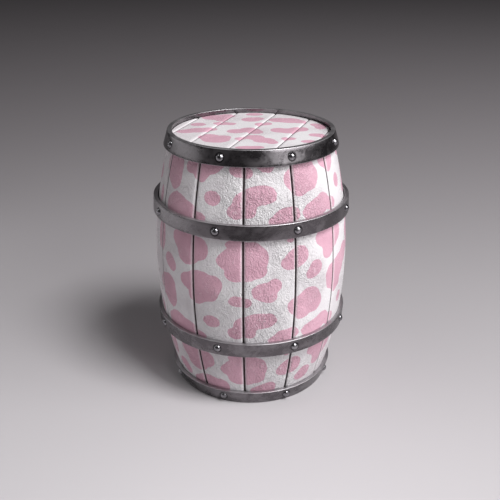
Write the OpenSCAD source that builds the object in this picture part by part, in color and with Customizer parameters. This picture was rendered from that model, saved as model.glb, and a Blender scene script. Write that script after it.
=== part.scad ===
// Small bulged wooden cask: twelve staves drawn together by four welded iron hoops,
// closed at both ends by doweled heads whose rims lie on the stave ends inside the hoops.
// Millimetres, +Z up. The origin is the centre of the ring that the cask stands on,
// and the front of the cask faces -Y.

/* [Cask] */
// Height over the two end hoops
cask_h = 436; // [380:1:520]
// Diameter over the staves at the bilge, halfway up
bilge_d = 320; // [290:1:360]
// Diameter over the staves at their cut ends
end_d = 261; // [240:1:276]

/* [Staves] */
// Number of staves
stave_count = 12; // [8:1:16]
// Thickness of a stave
stave_t = 16; // [10:0.5:20]
// Radius of the rounded long edges on the outside of a stave
stave_round = 4.5; // [1:0.1:6]
// Play between two neighbouring staves at their ends
stave_gap = 0.1; // [0.05:0.05:0.3]
// Angle of the first seam between staves, counted from +X
seam_turn = -4.5; // [-15:0.5:15]

/* [Heads] */
// Depth of a head's outer face below the edge of its end hoop
head_recess = 8; // [5:0.5:10]
// Thickness of a head board
board_t = 15; // [13:0.5:20]
// Thickness of a head's rim, the part that lies on the stave ends
rim_t = 7; // [5:0.5:9]
// Width of each of the two middle boards
mid_board_w = 66; // [50:1:72]
// Width of each narrow cant, at the widest point of the rim
cant_w = 15; // [10:1:24]
// Direction of the seams between boards, counted from +X
board_turn = 70.5; // [0:0.5:180]
// Radius of the rounded edges along the seams between boards
board_round = 2.8; // [1:0.1:4]
// Depth of the broken edges round the rim and the plug of a head
rim_ease = 1.2; // [0.4:0.1:2]
// Play between two neighbouring boards
board_gap = 0.1; // [0.05:0.05:0.3]
// Play of a head inside the staves and inside its hoop
head_fit = 0.2; // [0.1:0.05:0.3]

/* [Dowels] */
// Diameter of a dowel between two head boards
dowel_d = 8; // [5:0.5:9]
// Length of a dowel
dowel_l = 30; // [20:1:34]
// Distance between the two dowels of a seam
dowel_spacing = 110; // [60:1:130]
// Radial play of a dowel in its holes
dowel_fit = 0.05; // [0.02:0.01:0.15]
// Depth left free behind each end of a dowel
dowel_end_gap = 1; // [0.5:0.5:2]

/* [Hoops] */
// Width of a hoop, up the cask
hoop_w = 24; // [20:1:34]
// Thickness of the hoop iron
hoop_t = 7; // [4:0.5:8]
// Distance between the middles of the two bilge hoops
bilge_hoop_spacing = 200; // [140:1:240]
// Share of the staves' slope that the bilge hoops are splayed to
bilge_hoop_splay = 0.4; // [0:0.05:1]
// Depth of the broken edges of a hoop
hoop_ease = 0.9; // [0.3:0.1:1.5]
// Play between a hoop and the staves inside it
hoop_fit = 0.1; // [0.05:0.05:0.3]

/* [Rivets] */
// Number of rivets in a hoop
rivet_count = 8; // [4:1:16]
// Diameter of the domed rivet head
rivet_head_d = 12; // [8:0.5:16]
// Height of the domed rivet head
rivet_head_h = 4; // [2:0.25:5.5]
// Diameter of the rivet's shank
rivet_shank_d = 6; // [4:0.5:7]
// Radial play of the shank in the hoop
rivet_fit = 0.05; // [0.02:0.01:0.1]
// Angle of the first rivet, counted from +X
rivet_turn = 25.5; // [0:0.5:45]

/* [Hidden] */
$fn = 96;
// Facets of the long stave curve, whose radius is far larger than any other
curve_fn = 256;
// Facets of a small rounded edge
round_fn = 48;
// How far a cutting shape runs past what it cuts
overrun = 1;

half_h = cask_h / 2;
head_face = cask_h - head_recess;
stave_end = head_face - rim_t;
half_stave = stave_end - half_h;
bilge_hoop_rise = bilge_hoop_spacing / 2;

// The outside of a stave is one arc, centred beyond the far side of the cask
bilge_swell = (bilge_d - end_d) / 2;
curve_r = (half_stave * half_stave + bilge_swell * bilge_swell) / 2 / bilge_swell;
curve_x = bilge_d / 2 - curve_r;

// Radius of the staves' outside and inside at height z
function stave_r(z) = curve_x + sqrt(curve_r * curve_r - (z - half_h) * (z - half_h));
function stave_inner_r(z) =
    let (r = curve_r - stave_t)
    curve_x + sqrt(r * r - (z - half_h) * (z - half_h));

// The hoops, counted from the top: heights of their middles and their splay
hoop_zs = [cask_h - hoop_w / 2, half_h + bilge_hoop_rise, half_h - bilge_hoop_rise, hoop_w / 2];
hoop_splays = [1, bilge_hoop_splay, bilge_hoop_splay, 1];

// How far the stave curve rises between the two edges of a hoop
hoop_rise = hoop_w * hoop_w / 8 / curve_r;
// Radius at height z of a hoop that lies close on the staves
function close_r(z) = stave_r(z) + hoop_rise + hoop_fit;
// Radius of hoop i's inner face at its upper edge (side = 1) or its lower edge (side = -1).
// The wider edge is close on the staves, and the other one as close as the splay brings it.
function hoop_edge_r(i, side) =
    let (
        z = hoop_zs[i],
        wide = max(close_r(z - hoop_w / 2), close_r(z + hoop_w / 2))
    )
    wide - hoop_splays[i] * (wide - close_r(z + side * hoop_w / 2));
// Lean of a hoop's face, positive where it narrows upwards
function hoop_lean(i) = atan((hoop_edge_r(i, -1) - hoop_edge_r(i, 1)) / hoop_w);
// The hoop's thickness as measured level
function hoop_level_t(i) = hoop_t / cos(hoop_lean(i));

// Radius of the top hoop's inner face at height z, which the head's rim follows
function seat_r(z) = hoop_edge_r(0, 1) + (cask_h - z) * tan(hoop_lean(0));

head_inner = head_face - board_t;
plug_r = stave_inner_r(stave_end) - head_fit;
rim_low_r = seat_r(stave_end) - head_fit;
rim_high_r = seat_r(head_face) - head_fit;

// Seams between the head boards, across the head, then the limits of each board
cant_x = rim_low_r - cant_w;
seam_xs = [-cant_x, -mid_board_w, 0, mid_board_w, cant_x];
board_reach = rim_low_r + overrun;
board_edges = concat([-board_reach], seam_xs, [board_reach]);
board_count = len(seam_xs) + 1;
dowel_z = head_face - board_t / 2;
// The outermost seams lie on the rim alone, which is too thin for dowels
dowel_xs = [for (i = [1 : len(seam_xs) - 2]) seam_xs[i]];

rivet_dome_r = (rivet_head_d * rivet_head_d / 4 + rivet_head_h * rivet_head_h) / 2 / rivet_head_h;

stave_names = [for (i = [1 : stave_count]) str("stave_", i < 10 ? "0" : "", i)];
top_board_names = [for (i = [1 : board_count]) str("top_head_board_", i)];
bottom_board_names = [for (i = [1 : board_count]) str("bottom_head_board_", i)];
hoop_names = ["top_hoop", "upper_bilge_hoop", "lower_bilge_hoop", "bottom_hoop"];
rivet_names = [for (name = hoop_names) str(name, "_rivets")];

// Puts what is drawn at the top of the cask at its bottom end
module at_bottom() {
    translate([0, 0, cask_h]) mirror([0, 0, 1]) children();
}

// Section of a stave along its middle, in radius and height
module stave_section() {
    intersection() {
        translate([curve_x, half_h]) difference() {
            circle(r = curve_r, $fn = curve_fn);
            circle(r = curve_r - stave_t, $fn = curve_fn);
        }
        translate([0, half_h - half_stave]) square([bilge_d, 2 * half_stave]);
    }
}

// What is planed off to round the two edges that meet at a seam. The seam lies on
// the Y axis with its surface at Y = 0 and the wood below.
module rounding_waste(r) {
    difference() {
        translate([-r, -r]) square([2 * r, r + overrun]);
        for (side = [-1, 1]) translate([side * r, -r]) circle(r = r, $fn = round_fn);
    }
}

// Cutter that follows the outer curve of the staves along one seam
module seam_cutter() {
    translate([curve_x, 0, half_h]) rotate([90, 0, 0])
        rotate_extrude($fn = curve_fn)
            translate([curve_r, 0]) rotate(-90) rounding_waste(stave_round);
}

// A stave: radial sides, one bulged face and rounded outer edges
module stave(i) {
    pitch = 360 / stave_count;
    play = 2 * asin(stave_gap / end_d);
    color([0.93, 0.86, 0.88])
    rotate([0, 0, seam_turn + (i + 0.5) * pitch])
    difference() {
        rotate([0, 0, (play - pitch) / 2])
            rotate_extrude(angle = pitch - play) stave_section();
        for (side = [-1, 1]) rotate([0, 0, side * pitch / 2]) seam_cutter();
    }
}

// The whole top head before it is sawn into boards: a plug inside the staves
// and a rim that tapers with the hoop
module head_blank() {
    rotate_extrude() polygon([
        [0, head_inner],
        [plug_r - rim_ease, head_inner],
        [plug_r, head_inner + rim_ease],
        [plug_r, stave_end],
        [rim_low_r, stave_end],
        [seat_r(head_face - rim_ease) - head_fit, head_face - rim_ease],
        [rim_high_r - rim_ease, head_face],
        [0, head_face],
    ]);
}

// Dowels across the seams of the top head, or the holes for them
module dowel_set(d, l) {
    for (x = dowel_xs, y = [-dowel_spacing / 2, dowel_spacing / 2])
        translate([x, y, dowel_z]) rotate([0, 90, 0]) cylinder(d = d, h = l, center = true);
}

// A board of the top head, counted from the left, with rounded seams and dowel holes
module head_board(i) {
    low = board_edges[i] + board_gap / 2;
    high = board_edges[i + 1] - board_gap / 2;
    color([0.95, 0.88, 0.9])
    rotate([0, 0, board_turn - 90])
    difference() {
        intersection() {
            head_blank();
            translate([low, -board_reach, head_inner - overrun])
                cube([high - low, 2 * board_reach, board_t + 2 * overrun]);
        }
        for (x = seam_xs)
            translate([x, 0, head_face]) rotate([90, 0, 0])
                linear_extrude(2 * board_reach, center = true) rounding_waste(board_round);
        dowel_set(dowel_d + 2 * dowel_fit, dowel_l + 2 * dowel_end_gap);
    }
}

// Wooden dowels of the top head
module head_dowels() {
    color("burlywood") rotate([0, 0, board_turn - 90]) dowel_set(dowel_d, dowel_l);
}

// Moves to the outer face of hoop i at rivet k, with +Z square to the face
module at_rivet(i, k) {
    mid_r = (hoop_edge_r(i, -1) + hoop_edge_r(i, 1)) / 2 + hoop_level_t(i);
    rotate([0, 0, rivet_turn + k * 360 / rivet_count])
        translate([mid_r, 0, hoop_zs[i]]) rotate([0, 90 - hoop_lean(i), 0]) children();
}

// Hoop i of flat iron: level edges, faces that lean with the staves, rivet holes
module hoop(i) {
    low = hoop_zs[i] - hoop_w / 2;
    high = hoop_zs[i] + hoop_w / 2;
    in_low = hoop_edge_r(i, -1);
    in_high = hoop_edge_r(i, 1);
    out_low = in_low + hoop_level_t(i);
    out_high = in_high + hoop_level_t(i);
    // Level shift of a leaning face over the height of a broken edge
    lean_shift = hoop_ease * tan(hoop_lean(i));
    color([0.2, 0.19, 0.2])
    difference() {
        rotate_extrude() polygon([
            [in_low + hoop_ease, low],
            [out_low - hoop_ease, low],
            [out_low - lean_shift, low + hoop_ease],
            [out_high + lean_shift, high - hoop_ease],
            [out_high - hoop_ease, high],
            [in_high + hoop_ease, high],
            [in_high + lean_shift, high - hoop_ease],
            [in_low - lean_shift, low + hoop_ease],
        ]);
        for (k = [0 : rivet_count - 1])
            at_rivet(i, k) translate([0, 0, -hoop_t - overrun])
                cylinder(d = rivet_shank_d + 2 * rivet_fit, h = hoop_t + 2 * overrun);
    }
}

// A rivet: domed head on the hoop, shank through it and flush inside
module rivet() {
    intersection() {
        translate([0, 0, rivet_head_h - rivet_dome_r]) sphere(r = rivet_dome_r);
        cylinder(d = 2 * rivet_head_d, h = rivet_head_h + overrun);
    }
    translate([0, 0, -hoop_t])
        cylinder(d = rivet_shank_d, h = hoop_t + rivet_head_h / 2);
}

// The rivets of hoop i
module rivets(i) {
    color([0.35, 0.34, 0.36])
    for (k = [0 : rivet_count - 1]) at_rivet(i, k) rivet();
}

for (i = [0 : stave_count - 1])
    stave(i);
for (i = [0 : board_count - 1]) {
    head_board(i);
    at_bottom() head_board(i);
}
head_dowels();  // top_head_dowels
at_bottom() head_dowels();  // bottom_head_dowels
for (i = [0 : len(hoop_zs) - 1]) {
    hoop(i);
    rivets(i);
}
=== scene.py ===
import math
import random

import bmesh
import bpy
import numpy as np
from mathutils import Matrix, Vector


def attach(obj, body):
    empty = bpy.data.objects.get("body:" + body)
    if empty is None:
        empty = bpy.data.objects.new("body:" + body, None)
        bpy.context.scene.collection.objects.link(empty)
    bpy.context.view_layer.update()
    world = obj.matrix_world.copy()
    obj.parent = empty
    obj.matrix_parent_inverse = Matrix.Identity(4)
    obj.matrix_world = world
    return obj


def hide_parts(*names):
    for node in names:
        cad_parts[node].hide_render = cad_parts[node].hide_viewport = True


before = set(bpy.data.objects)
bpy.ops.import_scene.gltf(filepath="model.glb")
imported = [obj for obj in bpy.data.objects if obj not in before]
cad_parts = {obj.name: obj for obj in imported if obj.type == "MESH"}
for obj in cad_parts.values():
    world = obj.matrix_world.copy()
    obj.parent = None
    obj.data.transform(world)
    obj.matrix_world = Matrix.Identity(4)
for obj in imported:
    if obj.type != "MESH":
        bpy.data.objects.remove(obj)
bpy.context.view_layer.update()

print("frame loaded")

# the cask's main sizes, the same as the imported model's, in metres
cask = {
    "height": 0.436,
    "bilgeRadius": 0.160,      # over the staves at mid height
    "endRadius": 0.1305,       # over the staves at their ends
    "staveEnd": 0.015,         # from the floor to the staves' lower ends
    "staveThickness": 0.016,
}
midHeight = cask["height"] / 2
halfChord = midHeight - cask["staveEnd"]
rise = cask["bilgeRadius"] - cask["endRadius"]
curveRadius = (halfChord ** 2 + rise ** 2) / (2 * rise)
curveCentre = cask["bilgeRadius"] - curveRadius   # the staves' arc turns about this radius
millimetres = 1000.0   # in a metre


def outerRadius(z):
    return curveCentre + np.sqrt(curveRadius ** 2 - (z - midHeight) ** 2)


# camera

camera = {
    "place": (0.0, -1.1216, 0.7242),
    "tilt": 65.81,       # degrees up from straight down
    "turn": 0.1,         # degrees to the left
    "lens": 51.57,
    "sensor": 36,
}
cameraData = bpy.data.cameras.new("camera")
cameraData.lens = camera["lens"]
cameraData.sensor_width = camera["sensor"]
cameraObject = bpy.data.objects.new("camera", cameraData)
cameraObject.location = camera["place"]
cameraObject.rotation_euler = (math.radians(camera["tilt"]), 0, math.radians(camera["turn"]))
bpy.context.scene.collection.objects.link(cameraObject)
bpy.context.scene.camera = cameraObject


# shaping helpers

tiny = {
    "merge": 0.000005,      # points nearer than this become one
    "cut": 0.0000005,       # a cut takes in the points nearer than this
    "place": 0.00001,       # places nearer than this are the same
    "turn": 0.0001,         # and so are directions, in radians
    "flat": 0.0005,         # faces that meet at a smaller angle are one face
}
fullTurn = 2 * math.pi


def everything(bm):
    return bm.verts[:] + bm.edges[:] + bm.faces[:]


def closeUp(bm):
    bmesh.ops.remove_doubles(bm, verts=bm.verts, dist=tiny["merge"])
    bmesh.ops.recalc_face_normals(bm, faces=bm.faces)


def turnVerts(bm, verts, angle, axis="Z", centre=(0, 0, 0)):
    bmesh.ops.rotate(bm, verts=verts, cent=centre, matrix=Matrix.Rotation(angle, 3, axis))


def sweepRound(bm, geom, angle, steps, axis=(0, 0, 1), centre=(0, 0, 0)):
    # a full turn closes on itself
    return bmesh.ops.spin(bm, geom=geom, cent=centre, axis=axis, dvec=(0, 0, 0), angle=angle,
                          steps=steps, use_merge=angle == fullTurn)


def cutAcross(bm, place, way, dropOuter=False):
    return bmesh.ops.bisect_plane(bm, geom=everything(bm), dist=tiny["cut"], plane_co=place,
                                  plane_no=way, clear_outer=dropOuter)


def roundOff(bm, geom, offset, segments, affect):
    # a profile of 0.5 is round
    bmesh.ops.bevel(bm, geom=geom, offset=offset, offset_type="OFFSET", segments=segments,
                    profile=0.5, affect=affect, clamp_overlap=False, material=-1)


def finishMesh(bm, name, smoothAngle):
    closeUp(bm)
    for face in bm.faces:
        face.smooth = True
    for edge in bm.edges:
        if len(edge.link_faces) == 2:
            edge.smooth = edge.calc_face_angle(0) < math.radians(smoothAngle)
    mesh = bpy.data.meshes.new(name)
    bm.to_mesh(mesh)
    bm.free()
    piece = bpy.data.objects.new(name, mesh)
    bpy.context.scene.collection.objects.link(piece)
    return piece


def meshPoints(piece):
    points = np.zeros(len(piece.data.vertices) * 3)
    piece.data.vertices.foreach_get("co", points)
    return points.reshape(-1, 3)


def storeValues(piece, values):
    # for each name a value at every point, which the materials read
    for name, amounts in values.items():
        layer = piece.data.attributes.new(name, "FLOAT", "POINT")
        layer.data.foreach_set("value", np.asarray(amounts, np.float32))


def shortWay(turn, full=360):
    # the same turn, counted the shorter way round
    return (turn + full / 2) % full - full / 2


# painted spots
# each spot is (place across, place up, half width, half height); spots that touch flow together

staveSpots = {
    "repeatHeight": 0.200,     # the pattern comes again this far up
    "lifts": (-2, -1, 0, 1),   # so many times up, or down
    "repeatTurn": 90,          # and this far round, for the sides and the back
    "turns": (1, 2, 3),
    "outOfSight": (76, 278),   # degrees round, from and to where the repeats round are used
    "blend": 2.2,              # mm over which touching spots flow together
    "reach": 34,               # degrees from a stave's middle beyond which no spot touches it
    "margin": (10, 20),        # and mm below the floor and above the barrel, the same
    # degrees round from the front, mm up, half width mm, half height mm
    "left": [
        (-64, 279, 13, 27),
        (-54, 247, 12, 12), (-51, 239, 10, 10),
        (-42, 291, 22, 18), (-40, 272, 16, 18), (-32, 285, 20, 17), (-36, 268, 14, 14),
        (-30, 280, 14, 14),
        (-56, 202, 19, 17), (-54, 184, 15, 21), (-62, 196, 12, 18),
        (-30, 226, 27, 22), (-26, 212, 20, 14), (-38, 226, 15, 13), (-32, 203, 14, 13),
        (-21, 229, 14, 15),
        (-55.5, 196, 16, 22), (-55, 180, 15, 13),
        (-49, 143, 21, 16), (-41, 139, 19, 13), (-55, 138, 12, 13), (-32, 131, 13, 8),
        (-70, 144, 7, 13),
    ],
    "front": [
        (-8, 205, 13, 9), (-3, 203, 9, 8),
        (-23, 163, 14, 11),
        (0, 276, 26, 26), (-8, 276, 24, 18), (-14, 270, 15, 12), (-9, 253, 16, 14),
        (3, 257, 15, 13), (-2, 249, 12, 10), (-9, 297, 14, 7),
        (25.5, 271, 18, 16), (28, 275, 14, 15), (21, 265, 12, 10), (22.5, 301, 6, 4),
        (47, 292, 22, 16), (51, 276, 18, 16), (49, 264, 11, 11), (58, 290, 14, 16),
        (39, 247, 13, 13), (36, 240, 11, 9),
        (4, 170, 24, 14), (-4, 158, 17, 18), (-9, 147, 13, 11), (9, 171, 15, 12),
        (-1, 148, 10, 10),
        (8, 222, 18, 15), (13, 232, 11, 11), (6, 222, 14, 11), (10, 212, 12, 9),
        (34, 192, 24, 22), (35, 202, 17, 14), (26, 190, 15, 15), (30, 175, 14, 11),
        (39, 186, 14, 16),
        (42, 141, 23, 14), (47, 148, 15, 13), (36, 138, 13, 10), (55, 139, 12, 11),
        (20, 139, 17, 11), (14, 133, 12, 6), (25, 140, 10, 11),
        (58, 202, 16, 12), (57, 194, 8, 8),
    ],
    # not repeated below the middle of the barrel
    "right": [
        (54, 222, 18, 20), (62, 228, 20, 22), (70, 244, 16, 18), (53, 208, 12, 10),
        (66, 167, 9, 11),
    ],
    # found once
    "single": [
        (-33, 393, 11, 9), (-41, 403, 9, 10),
    ],
}

headSpots = {
    "blend": 1.8,
    # mm to the right, mm back, half width mm, half height mm
    "spots": [
        (-62, 93, 23, 17), (-42, 104, 15, 12), (-50, 79, 12, 13),
        (-88, 45, 13, 11), (-105, 1, 16, 11), (-86, 8, 18, 14), (-68, 14, 13, 11),
        (-50, 51, 14, 10), (-34, 49, 9, 8),
        (-66, -32, 17, 16), (-50, -46, 18, 19), (-60, -50, 15, 12), (-42, -34, 11, 10),
        (0, 79, 17, 15), (12, 85, 10, 9), (15, 46, 9, 9), (27, 50, 9, 9), (21, 48, 9, 8),
        (-24, 1, 15, 13), (-3, 11, 16, 14), (7, -3, 12, 12),
        (4, -35, 17, 13), (20, -52, 17, 14), (32, -64, 9, 9), (-18, -43, 9, 8),
        (46, 75, 17, 14), (66, 71, 18, 17), (80, 64, 13, 11),
        (44, 8, 14, 14), (60, 4, 16, 15), (78, 14, 15, 14),
        (113, 30, 10, 18), (105, 44, 8, 8), (100, -20, 11, 9), (110, -25, 9, 9),
        (-8, -92, 18, 8), (8, -91, 11, 7), (6, 116, 15, 10), (57, -43, 12, 9), (88, -58, 13, 8),
    ],
}


def flowTogether(distances, blend):
    # a soft maximum, so that spots which touch run into one
    top = distances.max(axis=0)
    return top + blend * np.log(np.exp((distances - top) / blend).sum(axis=0))


def spotDepth(spots, blend):
    # mm inside the nearest edge of the spots, below zero outside them
    distances = []
    for halfWidth, halfHeight, offAcross, offUp in spots:
        size = min(halfWidth, halfHeight)
        away = np.sqrt((offAcross / halfWidth) ** 2 + (offUp / halfHeight) ** 2)
        distances.append((1 - away) * size)
    return flowTogether(np.array(distances), blend)


def placedSpots():
    # every copy of a stave spot: degrees round, mm up and its half sizes
    left, front, right = (staveSpots[part] for part in ("left", "front", "right"))
    first, last = staveSpots["outOfSight"]
    placed = []
    for lift in staveSpots["lifts"]:
        up = lift * staveSpots["repeatHeight"] * millimetres
        placed += [(turn, height + up, w, h) for turn, height, w, h in left + front]
        if lift >= 0:
            placed += [(turn, height + up, w, h) for turn, height, w, h in right]
        for count in staveSpots["turns"]:
            for turn, height, halfWidth, halfHeight in front + right:
                around = turn + count * staveSpots["repeatTurn"]
                if first < around < last:
                    placed.append((around, height + up, halfWidth, halfHeight))
    return placed + staveSpots["single"]


allStaveSpots = placedSpots()


def staveSpotDepth(points):
    radius = np.hypot(points[:, 0], points[:, 1])
    turn = np.degrees(np.arctan2(points[:, 0], -points[:, 1]))
    middle = math.degrees(math.atan2(points[:, 0].mean(), -points[:, 1].mean()))
    below, above = staveSpots["margin"]
    near = []
    for around, height, halfWidth, halfHeight in allStaveSpots:
        onBarrel = -below < height < cask["height"] * millimetres + above
        if onBarrel and abs(shortWay(around - middle)) < staveSpots["reach"]:
            off = np.radians(shortWay(turn - around)) * radius * millimetres
            near.append((halfWidth, halfHeight, off, points[:, 2] * millimetres - height))
    return spotDepth(near, staveSpots["blend"])


def headSpotDepth(points, swapped):
    x = points[:, 0] * millimetres
    y = points[:, 1] * millimetres
    if swapped:
        x, y = y, x
    near = [(w, h, x - cx, y - cy) for cx, cy, w, h in headSpots["spots"]]
    return spotDepth(near, headSpots["blend"])


# staves

stave = {
    "count": 12,
    "seamTurn": -4.5,       # degrees; where the first stave begins, measured from the +X side
    "gap": 0.0001,
    "halfArc": 17.4,        # degrees swept to each side of the middle, a little past the ends
    "rows": 150,
    "edgeStep": 2.6,        # degrees kept beside each seam for the rounded edge
    "steps": 25,            # columns between the rounded edges
    "edgeRound": 0.0055,
    "edgeSegments": 5,
    "levelRise": 0.0003,    # an edge that rises no more than this is level
    "smoothAngle": 40,
    "seed": 40,
}


def makeStave(index):
    share = 360 / stave["count"]
    play = math.degrees(stave["gap"] / cask["bilgeRadius"])
    start = share * index + stave["seamTurn"] + play / 2
    across = share - play
    # sweep a line as long as the stave is thick along the arc, and cut the ends level
    bm = bmesh.new()
    outer = bm.verts.new((cask["bilgeRadius"], 0, midHeight))
    inner = bm.verts.new((cask["bilgeRadius"] - cask["staveThickness"], 0, midHeight))
    bm.edges.new((outer, inner))
    centre = Vector((curveCentre, 0, midHeight))
    halfArc = math.radians(stave["halfArc"])
    turnVerts(bm, bm.verts, halfArc, "Y", centre)
    sweepRound(bm, bm.verts[:] + bm.edges[:], -2 * halfArc, stave["rows"], (0, 1, 0), centre)
    for height, up in ((cask["staveEnd"], -1), (cask["height"] - cask["staveEnd"], 1)):
        cutAcross(bm, (0, 0, height), (0, 0, up), dropOuter=True)
    # sweep the strip round: a step for the rounded edge, the face, and the other edge
    turnVerts(bm, bm.verts, math.radians(start))
    face = across - 2 * stave["edgeStep"]
    first = strip = bm.faces[:]
    for turn, steps in ((stave["edgeStep"], 1), (face, stave["steps"]), (stave["edgeStep"], 1)):
        swept = sweepRound(bm, strip, math.radians(turn), steps)
        if strip is not first:
            # it would be left as a wall inside the stave
            bmesh.ops.delete(bm, geom=strip, context="FACES")
        strip = [g for g in swept["geom_last"] if isinstance(g, bmesh.types.BMFace)]
    closeUp(bm)
    # round the two long outer edges
    sides = (math.radians(start), math.radians(start + across))

    def onSeam(vert):
        turn = math.atan2(vert.co.y, vert.co.x)
        flat = math.hypot(vert.co.x, vert.co.y)
        outside = abs(flat - outerRadius(vert.co.z)) < tiny["place"]
        apart = min(abs(shortWay(turn - side, fullTurn)) for side in sides)
        return outside and apart < tiny["turn"]

    def runsUp(edge):
        one, other = edge.verts
        return onSeam(one) and onSeam(other) and abs(one.co.z - other.co.z) > stave["levelRise"]

    long = [edge for edge in bm.edges if runsUp(edge)]
    roundOff(bm, long, stave["edgeRound"], stave["edgeSegments"], "EDGES")
    piece = finishMesh(bm, "painted_stave_%02d" % (index + 1), stave["smoothAngle"])
    points = meshPoints(piece)
    radius = np.hypot(points[:, 0], points[:, 1])
    turn = np.degrees(np.arctan2(points[:, 1], points[:, 0]))
    fromStart = np.abs(shortWay(turn - start))
    fromEnd = np.abs(shortWay(turn - start - across))
    tone = random.Random(stave["seed"] + index).random()
    storeValues(piece, {
        "spot": staveSpotDepth(points),
        "seam": np.radians(np.minimum(fromStart, fromEnd)) * radius * millimetres,
        "depth": (outerRadius(points[:, 2]) - radius) * millimetres,
        "tone": np.full(len(points), tone),
    })
    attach(piece, "root")
    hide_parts("stave_%02d" % (index + 1))
    return piece


staves = [makeStave(i) for i in range(stave["count"])]
print("staves made")


# heads

head = {
    "face": 0.428,             # the top head's upper face
    "thickness": 0.015,
    "rimThickness": 0.007,
    "plugRadius": 0.11359,     # the part inside the staves
    "rimLowRadius": 0.13039,
    "rimHighRadius": 0.12828,
    "rimEase": 0.0012,
    "rimLean": 0.3,            # the rim's edge goes out this much of the way it goes down
    "seams": (-0.11539, -0.066, 0.0, 0.066, 0.11539),
    "turn": -19.5,             # degrees that the boards are turned
    "gap": 0.0001,
    # how far from a seam, and how far down
    "easing": ((0.0036, 0.0), (0.0026, 0.0003), (0.0013, 0.0009), (0.0, 0.0020)),
    "easeFrom": 1.1,           # times the rim's ease: points down to here are eased at a seam
    "grid": 0.004,
    "gridStart": 1.5,          # squares between a board's left seam and the first cut
    "sides": 192,
    "boards": 6,
    "smoothAngle": 17,
    "seed": 70,
}


def headBlank():
    face, ease = head["face"], head["rimEase"]
    inner, rim = face - head["thickness"], face - head["rimThickness"]
    profile = [
        (0, inner),
        (head["plugRadius"] - ease, inner),
        (head["plugRadius"], inner + ease),
        (head["plugRadius"], rim),
        (head["rimLowRadius"], rim),
        (head["rimHighRadius"] + head["rimLean"] * ease, face - ease),
        (head["rimHighRadius"] - ease, face),
        (0, face),
    ]
    bm = bmesh.new()
    verts = [bm.verts.new((r, 0, z)) for r, z in profile]
    edges = [bm.edges.new(pair) for pair in zip(verts, verts[1:])]
    sweepRound(bm, verts + edges, fullTurn, head["sides"])
    closeUp(bm)
    flat = [e for e in bm.edges if len(e.link_faces) == 2 and e.calc_face_angle(0) < tiny["flat"]]
    bmesh.ops.dissolve_edges(bm, edges=flat, use_verts=True)
    return bm


def easeBoard(bm, seams):
    # cut lines beside the seams, then press them down
    lines = [(seam - way * inset, drop) for seam, way in seams for inset, drop in head["easing"]]
    for x, drop in lines:
        cutAcross(bm, (x, 0, 0), (1, 0, 0))
    lowest = head["face"] - head["easeFrom"] * head["rimEase"]
    for x, drop in lines:
        line = [v for v in bm.verts if abs(v.co.x - x) < tiny["place"] and v.co.z > lowest]
        bmesh.ops.translate(bm, verts=line, vec=(0, 0, -drop))


def makeBoard(index, atBottom):
    bm = headBlank()
    # each seam of the board, and the way out of the board there
    seams = []
    if index > 0:
        seams.append((head["seams"][index - 1] + head["gap"] / 2, -1))
    if index < len(head["seams"]):
        seams.append((head["seams"][index] - head["gap"] / 2, 1))
    for seam, way in seams:
        cut = cutAcross(bm, (seam, 0, 0), (way, 0, 0), dropOuter=True)
        rims = [g for g in cut["geom_cut"] if isinstance(g, bmesh.types.BMEdge)]
        bmesh.ops.holes_fill(bm, edges=rims, sides=0)
    easeBoard(bm, seams)
    # slice the board into small squares, so that the spots can follow it
    edge, grid = head["rimLowRadius"], head["grid"]
    low = seams[0][0] if index > 0 else -edge
    high = seams[-1][0] if index < len(head["seams"]) else edge
    for x in np.arange(low + grid * head["gridStart"], high - grid, grid):
        cutAcross(bm, (x, 0, 0), (1, 0, 0))
    for y in np.arange(-edge + grid, edge, grid):
        cutAcross(bm, (0, y, 0), (0, 1, 0))
    turnVerts(bm, bm.verts, math.radians(head["turn"]))
    if atBottom:
        bmesh.ops.scale(bm, verts=bm.verts, vec=(1, 1, -1))
        bmesh.ops.translate(bm, verts=bm.verts, vec=(0, 0, cask["height"]))
    end = "bottom" if atBottom else "top"
    piece = finishMesh(bm, "painted_%s_board_%d" % (end, index + 1), head["smoothAngle"])
    points = meshPoints(piece)
    back = math.radians(-head["turn"])
    local = points[:, 0] * math.cos(back) - points[:, 1] * math.sin(back)
    nearest = np.min([np.abs(local - s) for s in head["seams"]], axis=0)
    height = cask["height"] - points[:, 2] if atBottom else points[:, 2]
    tone = random.Random(head["seed"] + index).random()
    storeValues(piece, {
        "spot": headSpotDepth(points, atBottom),
        "seam": nearest * millimetres,
        "depth": (head["face"] - height) * millimetres,
        "tone": np.full(len(points), tone),
    })
    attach(piece, "root")
    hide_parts("%s_head_board_%d" % (end, index + 1))
    return piece


topBoards = [makeBoard(i, False) for i in range(head["boards"])]
bottomBoards = [makeBoard(i, True) for i in range(head["boards"])]
print("heads made")


# hoops and rivets

hoop = {
    "width": 0.024,
    "thickness": 0.007,
    "edgeRound": 0.0011,
    "edgeSegments": 4,
    "longEdge": 0.01,       # the sides of the section that are longer than this are divided
    "cuts": 5,              # so many times
    "sides": 240,
    "smoothAngle": 50,
    # height of the middle, inner radius at the lower and upper edge
    "rings": {
        "top_hoop": (0.424, 0.13331, 0.12607),
        "upper_bilge_hoop": (0.318, 0.15475, 0.15339),
        "lower_bilge_hoop": (0.118, 0.15339, 0.15475),
        "bottom_hoop": (0.012, 0.12607, 0.13331),
    },
}

rivet = {
    "count": 8,
    "turn": 25.5,           # degrees from the +X side
    "headRadius": 0.006,
    "headHeight": 0.004,
    "domeRadius": 0.0065,
    "domeSteps": 10,
    "sunk": 0.0006,         # the dome's foot goes this far into the hoop
    "sides": 32,
    "smoothAngle": 50,
}


def hoopShape(name):
    # the ring's own values, its lean in radians and its thickness measured level
    middle, low, high = hoop["rings"][name]
    lean = math.atan((low - high) / hoop["width"])
    return middle, low, high, lean, hoop["thickness"] / math.cos(lean)


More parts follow.
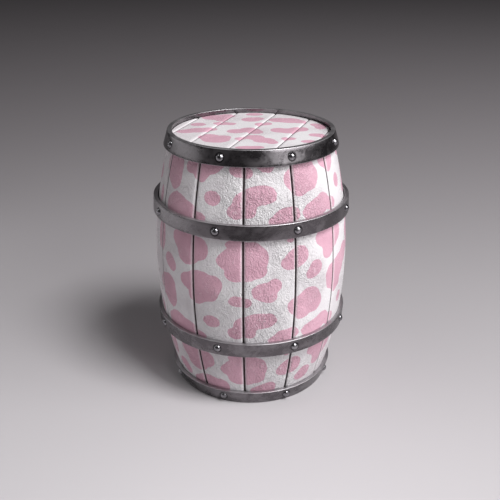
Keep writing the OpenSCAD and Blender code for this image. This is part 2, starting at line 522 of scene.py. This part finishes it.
def makeHoop(name):
    middle, low, high, lean, level = hoopShape(name)
    down, up = middle - hoop["width"] / 2, middle + hoop["width"] / 2
    bm = bmesh.new()
    section = ((low, 0, down), (low + level, 0, down), (high + level, 0, up), (high, 0, up))
    corners = [bm.verts.new(place) for place in section]
    bm.faces.new(corners)
    roundOff(bm, corners, hoop["edgeRound"], hoop["edgeSegments"], "VERTICES")
    bmesh.ops.delete(bm, geom=bm.faces[:], context="FACES_ONLY")
    long = [edge for edge in bm.edges if edge.calc_length() > hoop["longEdge"]]
    bmesh.ops.subdivide_edges(bm, edges=long, cuts=hoop["cuts"])
    sweepRound(bm, bm.verts[:] + bm.edges[:], fullTurn, hoop["sides"])
    piece = finishMesh(bm, "iron_" + name, hoop["smoothAngle"])
    points = meshPoints(piece)
    inner = low + (high - low) * (points[:, 2] - down) / hoop["width"]
    storeValues(piece, {
        "fromEdge": (hoop["width"] / 2 - np.abs(points[:, 2] - middle)) * millimetres,
        # 0 on the inner face and 1 on the outer one
        "outside": (np.hypot(points[:, 0], points[:, 1]) - inner) / level,
    })
    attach(piece, "root")
    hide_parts(name)
    return piece


def makeRivets(name):
    middle, low, high, lean, level = hoopShape(name)
    face = (low + high) / 2 + level
    bm = bmesh.new()
    # one quarter outline of the dome, swept round its own axis
    reach = math.asin(rivet["headRadius"] / rivet["domeRadius"])
    top = bm.verts.new((0, 0, rivet["headHeight"]))
    centre = (0, 0, rivet["headHeight"] - rivet["domeRadius"])
    sweepRound(bm, [top], reach, rivet["domeSteps"], (0, 1, 0), centre)
    foot = max(bm.verts, key=lambda v: v.co.x)
    skirt = bm.verts.new((foot.co.x, 0, -rivet["sunk"]))
    base = bm.verts.new((0, 0, -rivet["sunk"]))
    bm.edges.new((foot, skirt))
    bm.edges.new((skirt, base))
    sweepRound(bm, bm.verts[:] + bm.edges[:], fullTurn, rivet["sides"])
    bmesh.ops.remove_doubles(bm, verts=bm.verts, dist=tiny["merge"])
    # lay it over, square to the hoop's face, and set it in its place
    turnVerts(bm, bm.verts, math.pi / 2 - lean, "Y")
    bmesh.ops.translate(bm, verts=bm.verts, vec=(face, 0, middle))
    turnVerts(bm, bm.verts, math.radians(rivet["turn"]))
    first = everything(bm)
    for count in range(1, rivet["count"]):
        copied = bmesh.ops.duplicate(bm, geom=first)
        verts = [g for g in copied["geom"] if isinstance(g, bmesh.types.BMVert)]
        turnVerts(bm, verts, math.radians(count * 360 / rivet["count"]))
    piece = finishMesh(bm, "steel_" + name + "_rivets", rivet["smoothAngle"])
    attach(piece, "root")
    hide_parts(name + "_rivets")
    return piece


hoops = [makeHoop(name) for name in hoop["rings"]]
rivets = [makeRivets(name) for name in hoop["rings"]]
print("hoops and rivets made")


# material helpers

def feed(tree, node, inputs):
    # inputs by name or number: a socket is linked, any other value is set
    for key, value in inputs.items():
        socket = node.inputs[key]
        if isinstance(value, bpy.types.NodeSocket):
            tree.links.new(value, socket)
        else:
            socket.default_value = value


def addNode(tree, kind, inputs, **settings):
    node = tree.nodes.new(kind)
    for key, value in settings.items():
        setattr(node, key, value)
    feed(tree, node, inputs)
    return node


def newGroup(name, inputs, outputs):
    # inputs and outputs say what kind each socket is
    group = bpy.data.node_groups.new(name, "ShaderNodeTree")
    for way, sockets in (("INPUT", inputs), ("OUTPUT", outputs)):
        for label, kind in sockets.items():
            group.interface.new_socket(label, in_out=way, socket_type="NodeSocket" + kind)
    return group, group.nodes.new("NodeGroupInput"), group.nodes.new("NodeGroupOutput")


def placeGroup(tree, group, **inputs):
    return addNode(tree, "ShaderNodeGroup", inputs, node_tree=group).outputs


def mathNode(tree, operation, a, b=0.0, c=0.0, clamp=False):
    inputs = {0: a, 1: b, 2: c}
    return addNode(tree, "ShaderNodeMath", inputs, operation=operation, use_clamp=clamp).outputs[0]


def times(tree, a, b):
    return mathNode(tree, "MULTIPLY", a, b)


def timesPlus(tree, a, b, c, clamp=False):
    return mathNode(tree, "MULTIPLY_ADD", a, b, c, clamp)


def smoothStep(tree, value, low, high):
    # 0 at low and 1 at high, which may be the smaller of the two
    inputs = {"Value": value, "From Min": low, "From Max": high}
    node = addNode(tree, "ShaderNodeMapRange", inputs, interpolation_type="SMOOTHSTEP")
    return node.outputs["Result"]


def mixColour(tree, factor, a, b, blend="MIX"):
    # the mix node's colours are its sockets 6 and 7, and its output 2
    inputs = {0: factor, 6: a, 7: b}
    node = addNode(tree, "ShaderNodeMix", inputs, data_type="RGBA", blend_type=blend)
    return node.outputs[2]


def noise(tree, vector, scale, detail, rough=0.5, distort=0.0):
    inputs = {
        "Vector": vector,
        "Scale": scale,
        "Detail": detail,
        "Roughness": rough,
        "Distortion": distort,
    }
    return addNode(tree, "ShaderNodeTexNoise", inputs).outputs["Fac"]


def objectPlace(tree, scale=(1, 1, 1), turn=0):
    # turn is in degrees about the barrel's axis
    texture = addNode(tree, "ShaderNodeTexCoord", {})
    inputs = {
        "Vector": texture.outputs["Object"],
        "Scale": scale,
        "Rotation": (0, 0, math.radians(turn)),
    }
    return addNode(tree, "ShaderNodeMapping", inputs, vector_type="POINT").outputs["Vector"]


def splitPlace(tree, vector):
    return addNode(tree, "ShaderNodeSeparateXYZ", {"Vector": vector}).outputs


def farFrom(tree, place, point):
    inputs = {0: place, 1: point}
    return addNode(tree, "ShaderNodeVectorMath", inputs, operation="DISTANCE").outputs["Value"]


def attributeValue(tree, name):
    return addNode(tree, "ShaderNodeAttribute", {}, attribute_name=name).outputs["Fac"]


def bumpNormal(tree, height, distance):
    inputs = {"Height": height, "Distance": distance}
    return addNode(tree, "ShaderNodeBump", inputs).outputs["Normal"]


def newMaterial(name):
    material = bpy.data.materials.new(name)
    material.use_nodes = True
    tree = material.node_tree
    return material, tree, tree.nodes["Principled BSDF"]


def linear(value):
    # the standard curve from a screen's value to light
    if value <= 0.04045:
        return value / 12.92
    return ((value + 0.055) / 1.055) ** 2.4


def colour(red, green, blue):
    # from the 0 to 255 scale
    return (*[linear(value / 255) for value in (red, green, blue)], 1.0)


# shared effects
# a noise is (scale, detail, roughness, distortion), the last two where they matter

brush = {
    "patches": (10.0, 2.0),
    "ridges": (255.0, 3.0, 0.6, 1.4),
    "broad": (115.0, 2.0, 0.5, 0.8),
    "grit": (560.0, 2.0, 0.6),
    "drift": (26.0, 3.0),
    "patchEdge": (0.40, 0.60),    # from thin paint to thick
    "ridgeHeight": 0.8,
    "broadHeight": 0.5,
    "gritHeight": 0.35,
    "thinHeight": 0.4,            # how rough thin paint is
    "thickExtra": 0.65,           # and how much rougher thick paint is
    "ridgeHighlightEdge": (0.58, 0.68),    # a painted highlight on the tops of the ridges begins here and is full here
    "thinHighlight": 0.3,
    "thickHighlight": 0.7,
}


def brushedPaint():
    # gloss paint laid over rough wood: short ridges lengthwise, with thin and thick places
    group, given, out = newGroup(
        "brushedPaint",
        {"Along": "Vector", "Place": "Vector", "Ridges": "Float"},
        {"Height": "Float", "Patch": "Float", "RidgeHighlight": "Float", "Drift": "Float"},
    )
    along, place, amount = (given.outputs[name] for name in ("Along", "Place", "Ridges"))
    patch = smoothStep(group, noise(group, place, *brush["patches"]), *brush["patchEdge"])
    ridges = noise(group, along, *brush["ridges"])
    broad = noise(group, along, *brush["broad"])
    grit = noise(group, place, *brush["grit"])
    height = times(group, ridges, brush["ridgeHeight"])
    height = timesPlus(group, broad, brush["broadHeight"], height)
    height = timesPlus(group, grit, brush["gritHeight"], height)
    strength = timesPlus(group, patch, brush["thickExtra"], brush["thinHeight"])
    height = times(group, height, strength)
    # a painted highlight on the ridge tops, stronger where the paint is thick
    pale = smoothStep(group, ridges, *brush["ridgeHighlightEdge"])
    ridgeHighlight = times(group, pale, timesPlus(group, patch, brush["thickHighlight"], brush["thinHighlight"]))
    feed(group, out, {
        "Height": times(group, height, amount),
        "Patch": patch,
        "RidgeHighlight": times(group, ridgeHighlight, amount),
        "Drift": noise(group, place, *brush["drift"]),
    })
    return group


grain = {
    "rings": (90.0, 4.0, 0.6, 1.2),
    "fibres": (700.0, 2.0, 0.5),
    "fibreTint": 0.3,             # how much of the fibres is in the colour
    "fibreHeight": 0.6,           # and in the height
    "darkFrom": (0.45, 0.85),     # from light wood to dark
}


def woodGrain():
    group, given, out = newGroup(
        "woodGrain",
        {"Along": "Vector", "Light": "Color", "Dark": "Color"},
        {"Color": "Color", "Height": "Float"},
    )
    rings = noise(group, given.outputs["Along"], *grain["rings"])
    fibres = noise(group, given.outputs["Along"], *grain["fibres"])
    tint = timesPlus(group, fibres, grain["fibreTint"], rings)
    dark = smoothStep(group, tint, *grain["darkFrom"])
    feed(group, out, {
        "Color": mixColour(group, dark, given.outputs["Light"], given.outputs["Dark"]),
        "Height": timesPlus(group, fibres, grain["fibreHeight"], rings),
    })
    return group


handled = {
    "cloud": (32.0, 4.0, 0.6, 0.5),
    "fine": (240.0, 3.0, 0.6),
    "fineTint": 0.25,             # how much of the scratches is in the smudges
    "fineHeight": 0.5,            # and in the height
    "smudgeEdge": (0.50, 0.78),   # from clean metal to smudged
}


def handledMetal():
    # smudges and fine scratches that change how the metal shines
    group, given, out = newGroup(
        "handledMetal",
        {"Place": "Vector", "Smooth": "Float", "Rough": "Float"},
        {"Smudge": "Float", "Roughness": "Float", "Height": "Float"},
    )
    cloud = noise(group, given.outputs["Place"], *handled["cloud"])
    fine = noise(group, given.outputs["Place"], *handled["fine"])
    tint = timesPlus(group, fine, handled["fineTint"], cloud)
    smudge = smoothStep(group, tint, *handled["smudgeEdge"])
    rough = addNode(group, "ShaderNodeMapRange", {
        "Value": smudge,
        "To Min": given.outputs["Smooth"],
        "To Max": given.outputs["Rough"],
    })
    feed(group, out, {
        "Smudge": smudge,
        "Roughness": rough.outputs["Result"],
        "Height": timesPlus(group, fine, handled["fineHeight"], cloud),
    })
    return group


paintGroup = brushedPaint()
grainGroup = woodGrain()
metalGroup = handledMetal()


# paint on the staves and heads

paint = {
    "white": colour(236, 233, 235),
    "dullWhite": colour(222, 215, 220),
    "pink": colour(225, 178, 195),
    "deepPink": colour(205, 156, 174),
    "darkening": colour(150, 128, 138),
    # the painted highlight on the ridge tops
    "ridgeHighlight": colour(243, 241, 243),
    # the painted highlight on the rounded edges beside the seams
    "paintedEdgeHighlight": colour(246, 242, 244),
    # dirt and painted shade in the seams
    "seamDirtAndShade": colour(44, 22, 30),
    "bareWood": colour(176, 140, 100),
    "bareWoodDark": colour(132, 96, 62),
    # metres to the left or right, from where the ridges grow to where they are full
    "middle": (0.125, 0.055),
    "edge": 0.35,                 # mm over which a spot's edge turns from pink to white
    # mm that the edge strays, in broad bends and in small ones, and the noises of the bends
    "edgeWander": (4.5, 1.8),
    "broadBends": (52.0, 2.0),
    "smallBends": (190.0, 3.0),
    "drift": (0.35, 0.75),        # where the duller colours begin and are full
    "dullWhiteShare": 0.5,
    "deepPinkShare": 0.55,
    "toneSpan": 0.05,             # the palest board is brighter than the darkest by this
    "dirtHeight": (0.9, 0.3),     # dirt lies in the hollows of the thick paint
    "darkeningShare": 0.22,
    "ridgeHighlightShare": 0.4,
    "paintedHighlightReach": (4.4, 2.6),       # mm from a seam, where the painted highlight begins and is full
    "seamNoise": (220.0, 3.0),
    "seamWander": 0.4,            # mm that the edge of the dirt and painted shade strays
    "seamFull": 0.4,              # the dirt and painted shade are full at this part of its reach
    "seamShare": 0.93,
    "bareDepth": (4.9, 5.6),      # mm below the outer face, where bare wood begins and is full
    "rough": 0.24,
    "driftRough": 0.12,           # the duller places are rougher by this
    "seamRough": 0.3,
    "bareRough": 0.4,
    "specular": 0.2,
}

coats = {
    "stave": {
        "stretch": (1, 1, 0.62),  # below 1 draws the brush marks out along that axis
        "turn": 0,                # degrees that the brush marks are turned
        "ridges": (0.4, 1.1),     # at the sides and down the middle
        "bump": 0.005,
        "seamReach": 2.2,         # mm from a seam where its dirt and painted shade end
        # how strong the painted highlight on the rounded edges is
        "paintedEdgeHighlight": 0.45,
        # painted shade: the coat's colour is darkened to this part, the head's more than the
        # staves', as the head faces the lamps
        "shade": 0.94,
    },
    "head": {
        "stretch": (1, 0.5, 1),
        "turn": -head["turn"],
        "ridges": (0.4, 0.4),
        "bump": 0.002,
        "seamReach": 0.9,
        "paintedEdgeHighlight": 0.0,
        # painted shade: the head, facing the lamps, is darkened more than the staves
        "shade": 0.90,
    },
}


def insideSpots(tree, place):
    # 1 in the pink and 0 in the white, with an edge that strays
    broad, small = paint["edgeWander"]
    broadBends = noise(tree, place, *paint["broadBends"])
    smallBends = noise(tree, place, *paint["smallBends"])
    stray = timesPlus(tree, broadBends, broad, -(broad + small) / 2)
    stray = timesPlus(tree, smallBends, small, stray)
    strayed = mathNode(tree, "ADD", attributeValue(tree, "spot"), stray)
    return smoothStep(tree, strayed, -paint["edge"], paint["edge"])


def paintMaterial(name, coat):
    material, tree, shader = newMaterial(name)
    place = objectPlace(tree)
    along = objectPlace(tree, coat["stretch"], coat["turn"])
    # the paint is roughest down the middle of the front and the back
    sideways = mathNode(tree, "ABSOLUTE", splitPlace(tree, place)["X"])
    middle = smoothStep(tree, sideways, *paint["middle"])
    atSides, atMiddle = coat["ridges"]
    ridges = timesPlus(tree, middle, atMiddle - atSides, atSides)
    surface = placeGroup(tree, paintGroup, Along=along, Place=place, Ridges=ridges)
    # white and pink, duller in places, and each board a little darker or paler
    inside = insideSpots(tree, place)
    drift = smoothStep(tree, surface["Drift"], *paint["drift"])
    deep = times(tree, drift, paint["deepPinkShare"])
    pink = mixColour(tree, deep, paint["pink"], paint["deepPink"])
    dull = times(tree, drift, paint["dullWhiteShare"])
    white = mixColour(tree, dull, paint["white"], paint["dullWhite"])
    painted = mixColour(tree, inside, white, pink)
    # the coat's shade is painted shade, on top of each board's own random tone
    tone = timesPlus(tree, attributeValue(tree, "tone"), paint["toneSpan"], coat["shade"])
    painted = mixColour(tree, 1.0, painted, tone, "MULTIPLY")
    hollows = smoothStep(tree, surface["Height"], *paint["dirtHeight"])
    darkening = times(tree, times(tree, hollows, paint["darkeningShare"]), surface["Patch"])
    painted = mixColour(tree, darkening, painted, paint["darkening"])
    # the painted highlight on the ridge tops
    ridgeHighlight = times(tree, surface["RidgeHighlight"], paint["ridgeHighlightShare"])
    painted = mixColour(tree, ridgeHighlight, painted, paint["ridgeHighlight"])
    # the rounded edges get a painted highlight, and the seams gather dark dirt and painted shade
    seam = attributeValue(tree, "seam")
    edgeHighlight = times(tree, smoothStep(tree, seam, *paint["paintedHighlightReach"]), coat["paintedEdgeHighlight"])
    painted = mixColour(tree, edgeHighlight, painted, paint["paintedEdgeHighlight"])
    # dirt and painted shade along the seams
    wander = noise(tree, place, *paint["seamNoise"])
    wander = timesPlus(tree, wander, paint["seamWander"], -paint["seamWander"] / 2)
    reach = coat["seamReach"]
    near = mathNode(tree, "ADD", seam, wander)
    near = smoothStep(tree, near, reach, paint["seamFull"] * reach)
    painted = mixColour(tree, times(tree, near, paint["seamShare"]), painted, paint["seamDirtAndShade"])
    # behind the painted faces the wood is bare
    bareColours = {"Light": paint["bareWood"], "Dark": paint["bareWoodDark"]}
    wood = placeGroup(tree, grainGroup, Along=along, **bareColours)
    bare = smoothStep(tree, attributeValue(tree, "depth"), *paint["bareDepth"])
    rough = timesPlus(tree, drift, paint["driftRough"], paint["rough"])
    rough = timesPlus(tree, near, paint["seamRough"], rough)
    feed(tree, shader, {
        "Base Color": mixColour(tree, bare, painted, wood["Color"]),
        "Roughness": timesPlus(tree, bare, paint["bareRough"], rough, clamp=True),
        "Normal": bumpNormal(tree, surface["Height"], coat["bump"]),
        "Specular IOR Level": paint["specular"],
    })
    return material


stavePaint = paintMaterial("paintedStave", coats["stave"])
headPaint = paintMaterial("paintedHead", coats["head"])


# bare wood of the dowels

dowelWood = {
    "light": colour(196, 160, 116),
    "dark": colour(150, 112, 74),
    "stretch": (1, 0.12, 1),
    "rough": 0.5,
    "grainRough": 0.2,
    "bump": 0.0002,
}


def woodMaterial():
    material, tree, shader = newMaterial("bareWood")
    along = objectPlace(tree, dowelWood["stretch"], -head["turn"])
    colours = {"Light": dowelWood["light"], "Dark": dowelWood["dark"]}
    wood = placeGroup(tree, grainGroup, Along=along, **colours)
    feed(tree, shader, {
        "Base Color": wood["Color"],
        "Roughness": timesPlus(tree, wood["Height"], dowelWood["grainRough"], dowelWood["rough"]),
        "Normal": bumpNormal(tree, wood["Height"], dowelWood["bump"]),
    })
    return material


bareWood = woodMaterial()


# iron and steel

iron = {
    "dark": colour(103, 99, 102),
    "worn": colour(132, 128, 131),
    "smooth": 0.25,
    "rough": 0.36,
    "stretch": (1, 1, 1.3),
    "bump": 0.00012,
    "edge": colour(200, 197, 200),
    "edgeReach": (0.9, 0.35),     # mm from a hoop's edge, where the wear begins and is full
    "edgeShare": 0.7,
    "edgeRough": 0.16,            # the worn edges are rougher by this
    # painted shade round each rivet's foot
    "darkening": colour(40, 38, 40),
    "rivetShadeReach": (8.0, 6.6),      # mm from a rivet's middle where its painted shade ends and is full
    "darkeningShare": 0.85,
    "outside": (0.5, 0.9),        # parts of the thickness, from inside out, where the painted shade grows
}

steel = {
    "dark": colour(120, 118, 122),
    "worn": colour(168, 166, 170),
    "smooth": 0.18,
    "rough": 0.32,
    "stretch": (1, 1, 1),
    "bump": 0.0001,
}


def rivetShade(tree, fromEdge, finish):
    # a ring of painted shade round each rivet, by the distance from its middle, round the hoop and
    # up or down
    flat = objectPlace(tree, (1, 1, 0))
    sides = splitPlace(tree, flat)
    turn = mathNode(tree, "ARCTAN2", sides["Y"], sides["X"])
    turn = mathNode(tree, "SUBTRACT", turn, math.radians(rivet["turn"]))
    turn = mathNode(tree, "PINGPONG", turn, math.pi / rivet["count"])
    radius = farFrom(tree, flat, (0, 0, 0))
    around = times(tree, times(tree, turn, radius), millimetres)
    aside = mathNode(tree, "SUBTRACT", hoop["width"] / 2 * millimetres, fromEdge)
    apart = timesPlus(tree, around, around, times(tree, aside, aside))
    darkening = smoothStep(tree, mathNode(tree, "SQRT", apart), *finish["rivetShadeReach"])
    outside = smoothStep(tree, attributeValue(tree, "outside"), *finish["outside"])
    return times(tree, darkening, outside)


def metalMaterial(name, finish):
    material, tree, shader = newMaterial(name)
    place = objectPlace(tree, finish["stretch"])
    shine = {"Smooth": finish["smooth"], "Rough": finish["rough"]}
    surface = placeGroup(tree, metalGroup, Place=place, **shine)
    base = mixColour(tree, surface["Smudge"], finish["dark"], finish["worn"])
    rough = surface["Roughness"]
    if "edge" in finish:
        # worn bright edges, and painted shade round the rivets
        fromEdge = attributeValue(tree, "fromEdge")
        worn = smoothStep(tree, fromEdge, *finish["edgeReach"])
        base = mixColour(tree, times(tree, worn, finish["edgeShare"]), base, finish["edge"])
        rough = timesPlus(tree, worn, finish["edgeRough"], rough)
        darkening = times(tree, rivetShade(tree, fromEdge, finish), finish["darkeningShare"])
        base = mixColour(tree, darkening, base, finish["darkening"])
    feed(tree, shader, {
        "Base Color": base,
        "Roughness": rough,
        "Metallic": 1.0,
        "Normal": bumpNormal(tree, surface["Height"], finish["bump"]),
    })
    return material


hoopIron = metalMaterial("hoopIron", iron)
rivetSteel = metalMaterial("rivetSteel", steel)


def dress(pieces, material):
    for piece in pieces:
        piece.data.materials.clear()
        piece.data.materials.append(material)


dress(staves, stavePaint)
dress(topBoards + bottomBoards, headPaint)
dress(hoops, hoopIron)
dress(rivets, rivetSteel)
dress([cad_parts["top_head_dowels"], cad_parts["bottom_head_dowels"]], bareWood)
print("materials placed")


# floor and light

stageSet = {
    "floorReach": 16.0,                 # from the middle to each side
    "floorSquares": 4,
    "floorRough": 0.75,
    # a painted pool of light: the floor's colour near the barrel and far off
    "paintedPoolBright": colour(207, 203, 206),
    "paintedPoolDim": colour(120, 115, 118),
    "paintedPoolCentre": (0.0, -0.45, 0.0),    # a painted pool of light: the paper's colour is palest here
    # it falls to about a third in this distance ahead, and in twice the distance to the sides
    "paintedPoolReach": 0.85,
    "paintedPoolStretch": (0.5, 1, 1),
    "floorShade": colour(70, 67, 70),
    "shadeCentre": (-0.1, -1.2, 0.0),   # the paper lies in shade under the camera
    "shadeReach": (0.8, 0.3),           # metres from there, where it begins and is full
    "shadeShare": 0.85,
    "mottle": colour(150, 146, 150),
    "mottleNoise": (3.0, 2.0),
    "mottleShare": 0.05,
    "world": (0.054, 0.052, 0.054),
    # place, aim, width, height, watts
    "lamps": {
        "key": ((2.79, -2.1, 5.8), (0, 0, 0.2), 2.2, 2.2, 400.0),
        "side": ((2.73, -1.77, 2.16), (0, 0, 0.2), 3.6, 1.5, 97.0),
        "upperGlint": ((-0.95, 0.08, 0.53), (0, 0, 0.43), 1.1, 0.19, 0.80),
        "lowerGlint": ((-0.95, 0.08, 0.08), (0, 0, 0.30), 1.1, 0.15, 0.50),
        "lift": ((-1.3, -0.3, 2.1), (-0.2, 0, 0), 1.0, 1.0, 4.3),
    },
}


def floorMaterial():
    material, tree, shader = newMaterial("studioFloor")
    place = objectPlace(tree)
    # painted pool of light, palest near the barrel and darker far off
    away = farFrom(tree, objectPlace(tree, stageSet["paintedPoolStretch"]), stageSet["paintedPoolCentre"])
    lightPool = mathNode(tree, "EXPONENT", mathNode(tree, "DIVIDE", away, -stageSet["paintedPoolReach"]))
    paper = mixColour(tree, lightPool, stageSet["paintedPoolDim"], stageSet["paintedPoolBright"])
    # painted shade on the paper under the camera
    fromShade = farFrom(tree, place, stageSet["shadeCentre"])
    shade = smoothStep(tree, fromShade, *stageSet["shadeReach"])
    shade = times(tree, shade, stageSet["shadeShare"])
    paper = mixColour(tree, shade, paper, stageSet["floorShade"])
    mottle = noise(tree, place, *stageSet["mottleNoise"])
    mottle = times(tree, mottle, stageSet["mottleShare"])
    feed(tree, shader, {
        "Base Color": mixColour(tree, mottle, paper, stageSet["mottle"]),
        "Roughness": stageSet["floorRough"],
    })
    return material


floorMesh = bpy.data.meshes.new("floor")
bm = bmesh.new()
squares = stageSet["floorSquares"]
bmesh.ops.create_grid(bm, x_segments=squares, y_segments=squares, size=stageSet["floorReach"])
bm.to_mesh(floorMesh)
bm.free()
floor = bpy.data.objects.new("floor", floorMesh)
bpy.context.scene.collection.objects.link(floor)
floor.data.materials.append(floorMaterial())

for lampName, (place, aim, width, height, watts) in stageSet["lamps"].items():
    lampData = bpy.data.lights.new(lampName, "AREA")
    lampData.shape = "RECTANGLE"
    lampData.size = width
    lampData.size_y = height
    lampData.energy = watts
    lamp = bpy.data.objects.new(lampName, lampData)
    lamp.location = place
    lamp.rotation_euler = (Vector(aim) - Vector(place)).to_track_quat("-Z", "Y").to_euler()
    bpy.context.scene.collection.objects.link(lamp)

world = bpy.data.worlds.new("studio")
world.use_nodes = True
background = world.node_tree.nodes["Background"]
feed(world.node_tree, background, {"Color": (*stageSet["world"], 1), "Strength": 1.0})
bpy.context.scene.world = world
bpy.context.scene.view_settings.view_transform = "Standard"
print("floor and light placed")
